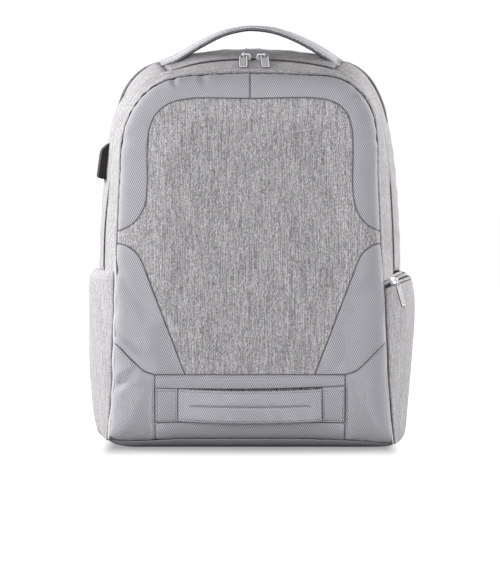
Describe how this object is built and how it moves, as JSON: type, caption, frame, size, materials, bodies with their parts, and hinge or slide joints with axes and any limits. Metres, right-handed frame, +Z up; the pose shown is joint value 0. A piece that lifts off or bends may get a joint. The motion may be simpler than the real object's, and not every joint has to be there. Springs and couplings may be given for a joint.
{
  "type": "laptop backpack",
  "caption": "Soft laptop backpack with a framed front panel, top grab handle, padded carry handle, zips over the top, side pockets and a USB housing.",
  "frame": {"origin": "on the surface it stands on, under the middle of the whole pack's box", "axes": "+Z up, -Y out of the front panel, +X to the right as seen from the front; left and right in the names are as seen from the front"},
  "size_m": [0.3633, 0.2537, 0.4582],
  "materials": {
    "melange": "grey melange canvas",
    "weave": "grey dobby weave",
    "gusset": "light grey melange canvas",
    "dark": "dark grey weave",
    "zip": "dark zip tape and coil",
    "metal": "satin grey",
    "rubber": "moulded light grey",
    "plastic": "matte black"
  },
  "bodies": {
    "pack": {"centre_panel": "melange", "trim_left": "weave", "trim_right": "weave", "wedge_left": "weave", "wedge_right": "weave", "corner_left": "weave", "corner_right": "weave", "lower_panel": "weave", "carry_handle": "weave", "handle_tab_left": "weave", "handle_tab_right": "weave", "grab_handle": "weave", "shoulder_strap_left": "weave", "shoulder_strap_right": "weave", "front_gusset": "gusset", "gusset_left": "gusset", "gusset_top": "gusset", "gusset_right": "gusset", "rear_gusset": "gusset", "side_panel_left": "gusset", "side_panel_right": "gusset", "pocket_left": "gusset", "pocket_right": "gusset", "base_panel": "dark", "back_panel": "dark", "webbing_left": "dark", "webbing_right": "dark", "anchor_left": "dark", "anchor_right": "dark", "main_zip": "zip", "laptop_zip": "zip", "pocket_zip": "zip", "slider_main_left": "metal", "slider_main_right": "metal", "slider_laptop_left": "metal", "slider_laptop_right": "metal", "slider_pocket": "metal", "usb_housing": "plastic", "adjuster_left": "plastic", "adjuster_right": "plastic"},
    "pull_main_left": {"pull_main_left": "rubber"},
    "pull_main_right": {"pull_main_right": "rubber"},
    "pull_laptop_left": {"pull_laptop_left": "rubber"},
    "pull_laptop_right": {"pull_laptop_right": "rubber"},
    "pull_pocket": {"pull_pocket": "rubber"}
  },
  "joints": [
    {"name": "main_left_pull_swing", "type": "hinge", "parent": "pack", "child": "pull_main_left", "pos_m": [-0.0072, -0.05347, 0.42678], "axis": [-1, 0, 0], "range_deg": [0, 140]},
    {"name": "main_right_pull_swing", "type": "hinge", "parent": "pack", "child": "pull_main_right", "pos_m": [0.0152, -0.05346, 0.4266], "axis": [-1, 0, 0], "range_deg": [0, 140]},
    {"name": "laptop_left_pull_swing", "type": "hinge", "parent": "pack", "child": "pull_laptop_left", "pos_m": [-0.0044, 0.01594, 0.43555], "axis": [1, 0, 0], "range_deg": [0, 140]},
    {"name": "laptop_right_pull_swing", "type": "hinge", "parent": "pack", "child": "pull_laptop_right", "pos_m": [0.0098, 0.01594, 0.43549], "axis": [1, 0, 0], "range_deg": [0, 140]},
    {"name": "pocket_pull_swing", "type": "hinge", "parent": "pack", "child": "pull_pocket", "pos_m": [0.15851, -0.08332, 0.18226], "axis": [-0.4517, -0.8769, -0.1643], "range_deg": [0, 140]}
  ]
}
